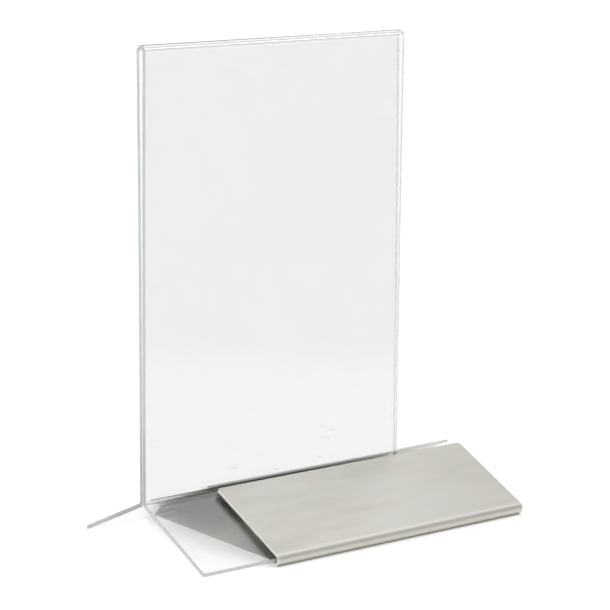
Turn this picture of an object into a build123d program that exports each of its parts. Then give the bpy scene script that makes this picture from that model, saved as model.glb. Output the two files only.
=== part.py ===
from build123d import *
from math import cos, isclose, radians, sin, tan
import os

# Tabletop sign stand. A clear sign holder, bent from one acrylic sheet, stands on its own two
# feet inside a folded steel base. The feet fill the base's open-ended triangular tunnel, the
# holder's neck rises through the slot along the apex, and the holder slides out of either end.
#
# Frame: +X along the base's length, +Y to its rear, +Z up. The origin is the centre of the
# base's underside, on the surface that it stands on.

# ---------------------------------------------------------------- driving dimensions (mm, deg)

# Steel base: one sheet with a flat bottom, two folds, and two slope plates that end at the slot.
base_length = 150.0
base_depth = 104.0          # over the noses of the two folds
steel_thickness = 1.2
steel_fold_radius = 3.0     # outside of each fold
steel_slope = 24.3          # slope plates, above the horizontal
slot_width = 7.4            # between the middles of the slope plates' cut edges
slot_corner_radius = 2.0    # plan corners of the slope plates at the slot
steel_edge_break = 0.2

# Acrylic holder: one sheet, from the front foot over the top fold to the rear foot.
holder_width = 150.0
holder_height = 233.8       # from the soles of the feet to the top of the fold
acrylic_thickness = 2.0
foot_spread = 95.2          # between the lower edges of the two feet
foot_slope = 25.0           # feet, above the horizontal
neck_bend_radius = 2.0      # hollow side of the bend between foot and panel
neck_width = 4.4            # over both panels, just above the bends
fold_width = 6.8            # over both panels, where the top fold starts
foot_corner_radius = 1.5    # plan corners of the feet
acrylic_edge_break = 0.25

# The holder's resting place, slid to the left of its flush position in the base.
holder_offset = -39.0

# ---------------------------------------------------------------- derived values

# Both outlines are the mid-planes of their sheets.
steel_rise = radians(steel_slope)
steel_mid_radius = steel_fold_radius - steel_thickness / 2
bottom_z = steel_thickness / 2
sharp_fold_y = base_depth / 2 - steel_fold_radius + steel_mid_radius / tan(steel_rise / 2)
slot_edge_y = slot_width / 2
slot_edge_z = bottom_z + (sharp_fold_y - slot_edge_y) * tan(steel_rise)

# The feet stand on the base's bottom plate.
foot_rise = radians(foot_slope)
half_sheet = acrylic_thickness / 2
sole_z = steel_thickness
foot_tip_y = -foot_spread / 2 - half_sheet * sin(foot_rise)
foot_tip_z = sole_z + half_sheet * cos(foot_rise)
neck_y = -neck_width / 2 + half_sheet
neck_mid_radius = neck_bend_radius + half_sheet
foot_length = (neck_y - foot_tip_y - neck_mid_radius * (1 - sin(foot_rise))) / cos(foot_rise)
fold_y = -fold_width / 2 + half_sheet
fold_z = sole_z + holder_height - fold_width / 2


def corner_edges(sheet, thickness):
    """The square corners of a bent sheet, which run through its thickness."""
    return sheet.edges().filter_by(lambda edge: isclose(edge.length, thickness, abs_tol=0.001))


def rim_edges(sheet, thickness, width):
    """The edges around a bent sheet's two skins, without the seams at its bends and corners."""
    seams = (thickness, width)
    return sheet.edges().filter_by(
        lambda edge: not any(isclose(edge.length, seam, abs_tol=0.001) for seam in seams)
    )


# ---------------------------------------------------------------- steel base

with BuildPart() as steel_base:
    with BuildSketch(Plane.YZ):
        with BuildLine():
            FilletPolyline(
                (-slot_edge_y, slot_edge_z),
                (-sharp_fold_y, bottom_z),
                (sharp_fold_y, bottom_z),
                (slot_edge_y, slot_edge_z),
                radius=steel_mid_radius,
            )
        trace(line_width=steel_thickness)
    extrude(amount=base_length / 2, both=True)
    fillet(corner_edges(steel_base, steel_thickness), radius=slot_corner_radius)
    fillet(rim_edges(steel_base, steel_thickness, base_length), radius=steel_edge_break)

steel_base.part.label = "steel_base"

# ---------------------------------------------------------------- acrylic holder

with BuildPart() as acrylic_holder:
    with BuildSketch(Plane.YZ.offset(holder_offset)):
        with BuildLine():
            foot = PolarLine((foot_tip_y, foot_tip_z), foot_length, foot_slope)
            bend = JernArc(foot @ 1, foot % 1, neck_mid_radius, 90 - foot_slope)
            panel = TangentArc(bend @ 1, (fold_y, fold_z), tangent=bend % 1)
            mirror(about=Plane.YZ)
            TangentArc(panel @ 1, (-fold_y, fold_z), tangent=panel % 1)
        trace(line_width=acrylic_thickness)
    extrude(amount=holder_width / 2, both=True)
    fillet(corner_edges(acrylic_holder, acrylic_thickness), radius=foot_corner_radius)
    fillet(rim_edges(acrylic_holder, acrylic_thickness, holder_width), radius=acrylic_edge_break)

acrylic_holder.part.label = "acrylic_holder"

os.makedirs("parts", exist_ok=True)
for piece in (steel_base, acrylic_holder):
    export_step(piece.part, f"parts/{piece.part.label}.step")
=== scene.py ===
import math

import bpy
from mathutils import Matrix, Vector


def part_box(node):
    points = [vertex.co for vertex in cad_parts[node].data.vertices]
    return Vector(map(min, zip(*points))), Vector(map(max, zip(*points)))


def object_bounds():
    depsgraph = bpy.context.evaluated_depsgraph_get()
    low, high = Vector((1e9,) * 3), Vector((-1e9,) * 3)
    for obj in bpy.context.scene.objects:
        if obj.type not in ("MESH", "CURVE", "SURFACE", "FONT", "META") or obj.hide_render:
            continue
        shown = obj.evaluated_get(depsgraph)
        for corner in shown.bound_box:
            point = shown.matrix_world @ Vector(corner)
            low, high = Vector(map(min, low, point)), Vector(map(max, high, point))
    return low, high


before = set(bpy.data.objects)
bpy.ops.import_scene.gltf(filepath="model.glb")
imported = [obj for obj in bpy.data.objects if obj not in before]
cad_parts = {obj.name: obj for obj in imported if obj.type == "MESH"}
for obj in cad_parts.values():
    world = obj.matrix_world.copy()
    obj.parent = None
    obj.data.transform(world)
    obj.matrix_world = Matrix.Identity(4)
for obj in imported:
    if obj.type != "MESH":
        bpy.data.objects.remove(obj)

CAD_LOW, CAD_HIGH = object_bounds()
CENTRE = (CAD_LOW + CAD_HIGH) / 2
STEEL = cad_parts["steel_base"]
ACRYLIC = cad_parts["acrylic_holder"]
STEEL_LOW, STEEL_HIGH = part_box("steel_base")
ACRYLIC_LOW, ACRYLIC_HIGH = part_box("acrylic_holder")

# ---------------------------------------------------------------- shapes of the two bent sheets

MM = 0.001

STEEL_THICKNESS = 1.2 * MM
STEEL_SLOPE = math.radians(24.3)
SLOT_HALF_WIDTH = 3.7 * MM
FOLD_RADIUS = 3.0 * MM
FOLD_MIDDLE = 3.0 * MM      # height over which the fold's nose no longer faces the floor; below it the nose is painted lighter
FOLD_FADE = 2.0 * MM
CUT_END_DEPTH = 0.15 * MM   # how far in from the cut ends the painted highlight reaches
# how far in from the slot's edges the painted highlight reaches
SLOT_EDGE_DEPTH = 0.3 * MM

ACRYLIC_THICKNESS = 2.0 * MM
FOOT_SLOPE = math.radians(25.0)
FOOT_CORNER = 1.5 * MM
FEET_TOP = 20.0 * MM        # just under the neck's bends
FEET_FADE = 5.0 * MM
SAWN_DEPTH = 0.35 * MM      # how far in from the cut rim the frosting and its painted grey reach
SAWN_FADE = 0.2 * MM
CREST_DEPTH = 1.7 * MM      # how far down the painted grey line along the top fold reaches
CREST_FADE = 1.0 * MM
DASHES_HEIGHT = 65.0 * MM   # above the soles of the feet
DASHES_FADE = 40.0 * MM
RIPPLE_GAP = 5.0 * MM       # under the top of the fold, where the surface has no ripples
RIPPLE_FADE = 6.0 * MM
ACRYLIC_IOR = 1.49

# ---------------------------------------------------------------- colours

STEEL_DULL = (0.395, 0.386, 0.357)
STEEL_PLAIN = (0.455, 0.444, 0.410)
STEEL_BRIGHT = (0.485, 0.478, 0.451)
STEEL_STREAK = (0.40, 0.39, 0.357)
# Painted shade: the outside of the base darkens towards its right (+x) end.
STEEL_FAR_END_PAINTED_SHADE = (0.38, 0.372, 0.346)
# Painted light and shade: a flat tone on the rounded fold, set for how its nose is lit.
STEEL_FOLD_PAINTED_LIGHT = (0.49, 0.478, 0.442)
# Painted light: the underside of the fold is lighter, for the bright floor it reflects.
STEEL_UNDER_FOLD_PAINTED_LIGHT = (0.66, 0.645, 0.585)
# Painted highlight along the slot's edges.
STEEL_SLOT_EDGE_HIGHLIGHT = (0.76, 0.77, 0.77)
# Painted highlight on the cut ends.
STEEL_CUT_END_HIGHLIGHT = (0.93, 0.92, 0.86)
# Inside of the base: a dull as-rolled tone with random tarnish, painted pale for the light that reaches
# the hollow.
MILL_DULL_PAINTED_LIGHT = (0.85, 0.84, 0.79)
MILL_BRIGHT_PAINTED_LIGHT = (0.89, 0.88, 0.83)

CLEAR_DULL = (0.893, 0.898, 0.894)
CLEAR_BRIGHT = (0.900, 0.905, 0.901)
# Painted shadow: the feet are darker, for the shade under them that the holder doesn't cast here.
CLEAR_FEET_PAINTED_SHADOW = (0.78, 0.79, 0.785)
# Painted shade: a grey line along the top fold.
CREST_PAINTED_SHADE = (0.64, 0.67, 0.67)
# Frosted sawn rim, its grey a painted shade for the dark the real cut edges refract.
SAWN_EDGE_PAINTED_SHADE = (0.54, 0.565, 0.555)
SCRATCH = (0.70, 0.71, 0.70)
DUST = (0.90, 0.90, 0.89)

# ---------------------------------------------------------------- camera

CAMERA_AZIMUTH = math.radians(-37.9)
CAMERA_ELEVATION = math.radians(11.1)
CAMERA_ROLL = math.radians(0.45)
CAMERA_DISTANCE = 1.213
CAMERA_LENS = 150.8
SENSOR_WIDTH = 36.0
AIM = CENTRE + Vector((-0.001, 0.0, -0.0105))


def make_camera():
    """A long lens in front and to the left of the stand, looking slightly down on it."""
    back = Vector((
        math.sin(CAMERA_AZIMUTH) * math.cos(CAMERA_ELEVATION),
        -math.cos(CAMERA_AZIMUTH) * math.cos(CAMERA_ELEVATION),
        math.sin(CAMERA_ELEVATION),
    ))
    data = bpy.data.cameras.new("camera")
    data.lens = CAMERA_LENS
    data.sensor_width = SENSOR_WIDTH
    camera = bpy.data.objects.new("camera", data)
    camera.rotation_mode = "QUATERNION"
    level = (-back).to_track_quat("-Z", "Y")
    camera.rotation_quaternion = level @ Matrix.Rotation(CAMERA_ROLL, 3, "Z").to_quaternion()
    camera.location = AIM + back * CAMERA_DISTANCE
    bpy.context.collection.objects.link(camera)
    bpy.context.scene.camera = camera


# ---------------------------------------------------------------- node helpers


class Nodes:
    """A material's or world's node tree, with short ways to add and link nodes."""

    def __init__(self, tree):
        self.tree = tree
        self.tree.nodes.clear()

    def add(self, kind, values=None, **settings):
        """A new node. values sets sockets by name, or links them when given another socket."""
        node = self.tree.nodes.new(kind)
        for key, value in settings.items():
            setattr(node, key, value)
        for name, value in (values or {}).items():
            self.put(node.inputs[name], value)
        return node

    def put(self, socket, value):
        """Link value to the socket, or set it. A colour is given as red, green and blue."""
        if isinstance(value, bpy.types.NodeSocket):
            self.tree.links.new(value, socket)
        elif socket.type == "RGBA":
            socket.default_value = (*value, 1.0)
        else:
            socket.default_value = value

    def math(self, operation, a, b=0.0, c=0.0):
        node = self.add("ShaderNodeMath", operation=operation)
        for socket, value in zip(node.inputs, (a, b, c)):
            self.put(socket, value)
        return node.outputs[0]

    def place(self):
        """The coordinates of the point in the object's own frame."""
        return self.add("ShaderNodeTexCoord").outputs["Object"]

    def split(self, vector):
        """The x, y and z of a vector."""
        return self.add("ShaderNodeSeparateXYZ", {"Vector": vector}).outputs

    def noise(self, vector, scale, detail=2.0, roughness=0.5):
        node = self.add(
            "ShaderNodeTexNoise",
            {"Vector": vector, "Scale": scale, "Detail": detail, "Roughness": roughness},
        )
        return node.outputs["Fac"]

    def drawn_noise(self, vector, scales, detail=2.0, roughness=0.5, turn=(0.0, 0.0, 0.0)):
        """Noise with a scale for each axis, drawn out along the axes whose scale is small."""
        drawn = self.add("ShaderNodeMapping", {"Vector": vector, "Rotation": turn, "Scale": scales})
        return self.noise(drawn.outputs[0], 1.0, detail, roughness)

    def ramp(self, factor, *stops):
        """A colour ramp through (position, colour or grey) stops."""
        node = self.add("ShaderNodeValToRGB", {"Fac": factor})
        elements = node.color_ramp.elements
        while len(elements) < len(stops):
            elements.new(0.5)
        for element, (position, colour) in zip(elements, stops):
            if isinstance(colour, (int, float)):
                colour = (colour, colour, colour)
            element.position = position
            element.color = (*colour, 1.0)
        return node.outputs["Color"]

    def smooth_step(self, value, start, width):
        """0 up to start, 1 from start + width, and a smooth rise between them.

        With a width below 0, the step falls: it is 1 below start + width and 0 above start.
        """
        node = self.add(
            "ShaderNodeMapRange",
            {"Value": value, "From Min": start, "From Max": start + width},
            interpolation_type="SMOOTHSTEP",
        )
        return node.outputs["Result"]

    def mixed_colour(self, factor, a, b):
        node = self.add("ShaderNodeMix", data_type="RGBA")
        for socket, value in zip((node.inputs[0], node.inputs[6], node.inputs[7]), (factor, a, b)):
            self.put(socket, value)
        return node.outputs[2]

    def mixed_value(self, factor, a, b):
        node = self.add("ShaderNodeMix", data_type="FLOAT")
        for socket, value in zip((node.inputs[0], node.inputs[2], node.inputs[3]), (factor, a, b)):
            self.put(socket, value)
        return node.outputs[0]


def new_material(name):
    material = bpy.data.materials.new(name)
    material.use_nodes = True
    nodes = Nodes(material.node_tree)
    output = nodes.add("ShaderNodeOutputMaterial")
    return material, nodes, output


# ---------------------------------------------------------------- brushed steel


def inside_of_sheet(nodes, height, out):
    """1 on the faces inside the folded base, 0 on its outside faces.

    height is z, and out is the distance from the slot's edge towards the nearer fold.
    """
    slope_run = STEEL_HIGH.y - SLOT_HALF_WIDTH
    middle_top = STEEL_HIGH.z - STEEL_THICKNESS / 2
    middle = nodes.math("MULTIPLY_ADD", out, -math.tan(STEEL_SLOPE), middle_top)
    under_slope = nodes.math("LESS_THAN", height, middle)
    over_bottom = nodes.math("GREATER_THAN", height, STEEL_LOW.z + 0.75 * STEEL_THICKNESS)
    short_of_fold = nodes.math("LESS_THAN", out, slope_run - STEEL_THICKNESS)
    return nodes.math("MULTIPLY", nodes.math("MULTIPLY", under_slope, over_bottom), short_of_fold)


def steel_zones(nodes, place):
    """The stretches of the base that look different, each as a mask that is 1 within it."""
    x, y, height = nodes.split(place)
    half_length = (STEEL_HIGH.x - STEEL_LOW.x) / 2
    out = nodes.math("SUBTRACT", nodes.math("ABSOLUTE", y), SLOT_HALF_WIDTH)
    at_slot = nodes.math("LESS_THAN", out, SLOT_EDGE_DEPTH)
    upper_half = nodes.math("GREATER_THAN", height, STEEL_HIGH.z / 2)
    fold_start = STEEL_HIGH.y - SLOT_HALF_WIDTH - FOLD_RADIUS
    fold = nodes.smooth_step(out, fold_start, 0.6 * FOLD_RADIUS)
    low = nodes.smooth_step(height, FOLD_MIDDLE + FOLD_FADE / 2, -FOLD_FADE)
    return {
        "inside": inside_of_sheet(nodes, height, out),
        # painted shade, rising towards the right end
        "far_end_painted_shade": nodes.smooth_step(x, -half_length, 2 * half_length),
        "fold": fold,
        "under_fold_painted_light": nodes.math("MULTIPLY", fold, low),
        "slot_edge_highlight": nodes.math("MULTIPLY", at_slot, upper_half),
        "cut_end_highlight": nodes.math("GREATER_THAN", nodes.math("ABSOLUTE", x), half_length - CUT_END_DEPTH),
    }


def steel_colour(nodes, place, zones, patches, streaks):
    """Warm grey, patchy and streaked outside, with painted shade towards the right end; paler inside,
    partly painted light; a painted tone on the fold, painted lighter under it, and painted highlights on
    the slot edges and cut ends.
    """
    brushed = nodes.ramp(patches, (0.34, STEEL_DULL), (0.5, STEEL_PLAIN), (0.66, STEEL_BRIGHT))
    brushed = nodes.mixed_colour(nodes.math("MULTIPLY", streaks, 0.18), brushed, STEEL_STREAK)
    # Painted shade: darker towards the right end, for the light falling off along the base.
    brushed = nodes.mixed_colour(nodes.math("MULTIPLY", zones["far_end_painted_shade"], 0.5), brushed, STEEL_FAR_END_PAINTED_SHADE)
    tarnish = nodes.drawn_noise(place, (9.0, 14.0, 14.0), detail=1.0)
    # Painted light: the inside is paler than the steel is, for the light that reaches the hollow.
    mill_and_painted_light = nodes.ramp(tarnish, (0.3, MILL_DULL_PAINTED_LIGHT), (0.7, MILL_BRIGHT_PAINTED_LIGHT))
    colour = nodes.mixed_colour(zones["inside"], brushed, mill_and_painted_light)
    # Painted light and shade: the fold's own flat tone stands in for the lit and shaded nose.
    colour = nodes.mixed_colour(zones["fold"], colour, STEEL_FOLD_PAINTED_LIGHT)
    # Painted light: the lower half of the nose is lightened, a painted reflection of the bright floor.
    colour = nodes.mixed_colour(zones["under_fold_painted_light"], colour, STEEL_UNDER_FOLD_PAINTED_LIGHT)
    # Painted highlight: the slot's edges are lighter and cooler than the steel, as if catching the sky.
    colour = nodes.mixed_colour(zones["slot_edge_highlight"], colour, STEEL_SLOT_EDGE_HIGHLIGHT)
    # Painted highlight: the cut ends are near white, for the light they catch from the left.
    return nodes.mixed_colour(zones["cut_end_highlight"], colour, STEEL_CUT_END_HIGHLIGHT)


def steel_material():
    """Satin stainless steel: brushed along the base outside, a dull as-rolled finish inside, with light
    and shade painted into its colour.
    """
    material, nodes, output = new_material("brushed_steel")
    place = nodes.place()
    zones = steel_zones(nodes, place)
    fine = nodes.drawn_noise(place, (90.0, 6000.0, 6000.0), detail=3.0)
    streaks = nodes.drawn_noise(place, (14.0, 900.0, 900.0), detail=4.0)
    patches = nodes.drawn_noise(place, (16.0, 80.0, 80.0), detail=5.0, roughness=0.6)

    roughness = nodes.math("MULTIPLY_ADD", patches, 0.12, 0.34)
    roughness = nodes.math("MULTIPLY_ADD", fine, 0.06, roughness)
    roughness = nodes.mixed_value(zones["inside"], roughness, 0.6)
    relief = nodes.math("MULTIPLY_ADD", fine, 0.6, nodes.math("MULTIPLY", streaks, 0.4))
    bump = nodes.add("ShaderNodeBump", {"Height": relief, "Strength": 0.25, "Distance": 0.02 * MM})
    along_base = nodes.add("ShaderNodeTangent", direction_type="RADIAL", axis="X")
    shader = nodes.add(
        "ShaderNodeBsdfPrincipled",
        {
            "Base Color": steel_colour(nodes, place, zones, patches, streaks),
            "Metallic": 1.0,
            "Roughness": roughness,
            "Anisotropic": 0.5,
            "Tangent": along_base.outputs[0],
            "Normal": bump.outputs[0],
        },
    )
    nodes.put(output.inputs["Surface"], shader.outputs[0])
    return material


# ---------------------------------------------------------------- clear acrylic


def cut_rim(nodes, place):
    """How much a point is on the holder's cut rim: 1 on the sawn faces, 0 on the polished ones.

    The feet slope down at FOOT_SLOPE, so a foot's own length is a mix of y and z. The ends and
    the foot tips meet in rounded corners, which the distance from the corner's centre follows.
    """
    middle = (ACRYLIC_LOW + ACRYLIC_HIGH) / 2
    half_length = (ACRYLIC_HIGH.x - ACRYLIC_LOW.x) / 2
    half_spread = (ACRYLIC_HIGH.y - ACRYLIC_LOW.y) / 2
    tip_top = ACRYLIC_LOW.z + ACRYLIC_THICKNESS * math.cos(FOOT_SLOPE)
    reach = half_spread * math.cos(FOOT_SLOPE) - tip_top * math.sin(FOOT_SLOPE)

    x, y, z = nodes.split(place)
    along = nodes.math("ABSOLUTE", nodes.math("SUBTRACT", x, middle.x))
    drop = nodes.math("MULTIPLY", z, -math.sin(FOOT_SLOPE))
    down = nodes.math("MULTIPLY_ADD", nodes.math("ABSOLUTE", y), math.cos(FOOT_SLOPE), drop)

    past_end = nodes.math("MAXIMUM", nodes.math("SUBTRACT", along, half_length - FOOT_CORNER), 0.0)
    past_tip = nodes.math("MAXIMUM", nodes.math("SUBTRACT", down, reach - FOOT_CORNER), 0.0)
    squares = nodes.math("MULTIPLY_ADD", past_end, past_end, nodes.math("POWER", past_tip, 2.0))
    distance = nodes.math("SQRT", squares)
    return nodes.smooth_step(distance, FOOT_CORNER - SAWN_DEPTH, SAWN_FADE)


def sawn_edges(nodes, place):
    """The cut rim, frosted and painted grey, with less of both on the right half, whose edges show
    through the panel.
    """
    right_half = nodes.math("GREATER_THAN", nodes.split(place)[0], (ACRYLIC_LOW.x + ACRYLIC_HIGH.x) / 2)
    frosting = nodes.math("MULTIPLY_ADD", right_half, -0.6, 1.0)
    return nodes.math("MULTIPLY", cut_rim(nodes, place), frosting)


def scratches(nodes, place, height):
    """Short faint dashes low on the holder, and a few hairlines all over."""
    low = nodes.smooth_step(height, ACRYLIC_LOW.z + DASHES_HEIGHT, -DASHES_FADE)
    dashes = nodes.drawn_noise(place, (70.0, 1.0, 900.0), roughness=0.6)
    dashes = nodes.math("MULTIPLY", nodes.smooth_step(dashes, 0.70, 0.03), low)
    hairlines = nodes.drawn_noise(place, (40.0, 2200.0, 2200.0), roughness=0.6, turn=(0.3, -0.9, 0.2))
    hairlines = nodes.smooth_step(hairlines, 0.765, 0.02)
    return nodes.math("MAXIMUM", nodes.math("MULTIPLY", dashes, 0.4), hairlines)


def dust_specks(nodes, place, feet):
    """Specks of dust about half a millimetre wide, on the feet alone."""
    cells = nodes.add("ShaderNodeTexVoronoi", {"Vector": place, "Scale": 400.0})
    specks = nodes.math("LESS_THAN", cells.outputs["Distance"], 0.11)
    return nodes.math("MULTIPLY", specks, feet)


def acrylic_relief(nodes, place, height, scratched):
    """Slow ripples left by bending, which stop short of the top fold, and shallow scratches."""
    ripple = nodes.drawn_noise(place, (6.0, 60.0, 14.0), detail=1.0)
    below_fold = nodes.smooth_step(height, ACRYLIC_HIGH.z - RIPPLE_GAP, -RIPPLE_FADE)
    ripple = nodes.math("MULTIPLY", ripple, below_fold)
    relief = nodes.math("MULTIPLY_ADD", scratched, -0.3, ripple)
    bump = nodes.add("ShaderNodeBump", {"Height": relief, "Strength": 0.1, "Distance": 0.1 * MM})
    return bump.outputs[0]


def acrylic_material():
    """Clear polished acrylic with sawn edges, faintly marked by handling, with painted shade on the
    feet, along the top fold and on the sawn edges.
    """
    material, nodes, output = new_material("clear_acrylic")
    place = nodes.place()
    height = nodes.split(place)[2]
    crest_painted_shade = nodes.smooth_step(height, ACRYLIC_HIGH.z - CREST_DEPTH, CREST_FADE)
    feet = nodes.smooth_step(height, FEET_TOP, -FEET_FADE)
    sawn = sawn_edges(nodes, place)
    scratched = scratches(nodes, place, height)
    specks = dust_specks(nodes, place, feet)

    haze = nodes.noise(place, 9.0, detail=3.0)
    colour = nodes.ramp(haze, (0.3, CLEAR_DULL), (0.7, CLEAR_BRIGHT))
    # Painted shadow: the feet are darkened for the shaded floor seen through them.
    colour = nodes.mixed_colour(feet, colour, CLEAR_FEET_PAINTED_SHADOW)
    colour = nodes.mixed_colour(nodes.math("MULTIPLY", scratched, 0.3), colour, SCRATCH)
    # Painted shade: the crest is greyed for the darker band it shows in the light.
    colour = nodes.mixed_colour(crest_painted_shade, colour, CREST_PAINTED_SHADE)
    colour = nodes.mixed_colour(specks, colour, DUST)
    # The rim is frosted, and its grey is painted shade for the dark the real cut edges refract.
    colour = nodes.mixed_colour(sawn, colour, SAWN_EDGE_PAINTED_SHADE)

    roughness = nodes.math("MULTIPLY", haze, 0.01)
    roughness = nodes.math("MULTIPLY_ADD", scratched, 0.3, roughness)
    roughness = nodes.math("MULTIPLY_ADD", sawn, 0.45, roughness)
    frosted = nodes.math("MAXIMUM", sawn, nodes.math("MAXIMUM", specks, scratched))
    shader = nodes.add(
        "ShaderNodeBsdfPrincipled",
        {
            "Base Color": colour,
            "Roughness": roughness,
            "IOR": ACRYLIC_IOR,
            "Transmission Weight": nodes.math("MULTIPLY_ADD", frosted, -0.6, 1.0),
            "Normal": acrylic_relief(nodes, place, height, scratched),
        },
    )
    nodes.put(output.inputs["Surface"], shader.outputs[0])
    return material


# ---------------------------------------------------------------- studio

FLOOR_SIZE = 30.0
FLOOR_GAP = 0.05 * MM       # keeps the floor just clear of the base's underside

CARD_WIDTH = 3.0
CARD_DEPTH = 4.0
CARD_DISTANCE = 0.24        # from the middle of the base to the card's nearer edge
CARD_HEIGHT = 0.5 * MM
CARD_BLACK_FROM = 0.18
CARD_FADE = 0.14

# The softbox is a patch of sky. It is placed by the x and y of the directions towards it.
SOFTBOX_CENTRE_X = 0.47
SOFTBOX_HALF_WIDTH = 0.28
SOFTBOX_SIDE_FADE = 0.18
SOFTBOX_HALF_LENGTH = 0.5
SOFTBOX_END_FADE = 0.2
SOFTBOX_LIGHT = 2.35
STUDIO_STRENGTH = 1.02      # brings the floor to just white

GLASS_BOUNCES = 256


def flat_sheet(name, corners, material):
    """A level sheet through the (x, y) corners."""
    mesh = bpy.data.meshes.new(name)
    mesh.from_pydata([(x, y, 0.0) for x, y in corners], [], [(0, 1, 2, 3)])
    mesh.materials.append(material)
    sheet = bpy.data.objects.new(name, mesh)
    bpy.context.collection.objects.link(sheet)
    return sheet


def make_floor():
    """A plain pale floor under the stand."""
    material, nodes, output = new_material("floor")
    grain = nodes.noise(nodes.place(), 40.0, detail=4.0)
    colour = nodes.ramp(grain, (0.3, 0.94), (0.7, 0.96))
    shader = nodes.add("ShaderNodeBsdfDiffuse", {"Color": colour})
    nodes.put(output.inputs["Surface"], shader.outputs[0])
    half = FLOOR_SIZE / 2
    floor = flat_sheet("floor", [(-half, -half), (half, -half), (half, half), (-half, half)], material)
    floor.location.z = STEEL_LOW.z - FLOOR_GAP


def make_card():
    """A card on the floor in front, seen in reflections alone.

    It is as white as the floor at the edge nearer the stand and soon fades to black, so that the
    panel reflects less light higher up.
    """
    material, nodes, output = new_material("card")
    whiteness = nodes.smooth_step(nodes.split(nodes.place())[1], CARD_BLACK_FROM, -CARD_FADE)
    shader = nodes.add("ShaderNodeEmission", {"Strength": whiteness})
    nodes.put(output.inputs["Surface"], shader.outputs[0])
    half = CARD_WIDTH / 2
    card = flat_sheet("card", [(-half, 0), (half, 0), (half, CARD_DEPTH), (-half, CARD_DEPTH)], material)
    away = Vector((-math.sin(CAMERA_AZIMUTH), -math.cos(CAMERA_AZIMUTH), 0.0))
    card.location = away * CARD_DISTANCE + Vector((0, 0, CARD_HEIGHT))
    card.rotation_euler.z = math.atan2(-away.x, away.y)
    card.visible_camera = False
    card.visible_diffuse = False
    card.visible_transmission = False
    card.visible_shadow = False


def make_world():
    """Soft studio light: a bright ceiling, grey walls, a pale horizon and a softbox overhead."""
    world = bpy.data.worlds.new("studio")
    world.use_nodes = True
    bpy.context.scene.world = world
    nodes = Nodes(world.node_tree)
    output = nodes.add("ShaderNodeOutputWorld")
    x, y, z = nodes.split(nodes.add("ShaderNodeTexCoord").outputs["Generated"])
    height = nodes.math("MULTIPLY_ADD", z, 0.5, 0.5)
    light = nodes.ramp(
        height,
        (0.50, 1.0), (0.56, 1.0), (0.62, 0.62), (0.74, 0.62), (0.85, 0.88), (0.93, 1.5),
    )
    off_centre = nodes.math("ABSOLUTE", nodes.math("SUBTRACT", x, SOFTBOX_CENTRE_X))
    across = nodes.smooth_step(off_centre, SOFTBOX_HALF_WIDTH, -SOFTBOX_SIDE_FADE)
    along = nodes.smooth_step(nodes.math("ABSOLUTE", y), SOFTBOX_HALF_LENGTH, -SOFTBOX_END_FADE)
    overhead = nodes.math("GREATER_THAN", z, 0.0)
    softbox = nodes.math("MULTIPLY", nodes.math("MULTIPLY", across, along), overhead)
    light = nodes.mixed_value(softbox, light, SOFTBOX_LIGHT)
    background = nodes.add("ShaderNodeBackground", {"Color": light, "Strength": STUDIO_STRENGTH})
    nodes.put(output.inputs["Surface"], background.outputs[0])


make_camera()
STEEL.material_slots[0].material = steel_material()
ACRYLIC.material_slots[0].material = acrylic_material()
make_floor()
make_card()
make_world()

# The floor and the base are lit as if the clear holder weren't there, so it throws no shadow; the
# darkened feet are a painted shadow in its place.
ACRYLIC.visible_diffuse = False
ACRYLIC.visible_shadow = False

scene = bpy.context.scene
scene.view_settings.view_transform = "Standard"

# Light is reflected dozens of times inside the bent sheet before it gets out.
scene.cycles.max_bounces = GLASS_BOUNCES
scene.cycles.glossy_bounces = GLASS_BOUNCES
scene.cycles.transmission_bounces = GLASS_BOUNCES
scene.cycles.diffuse_bounces = 6
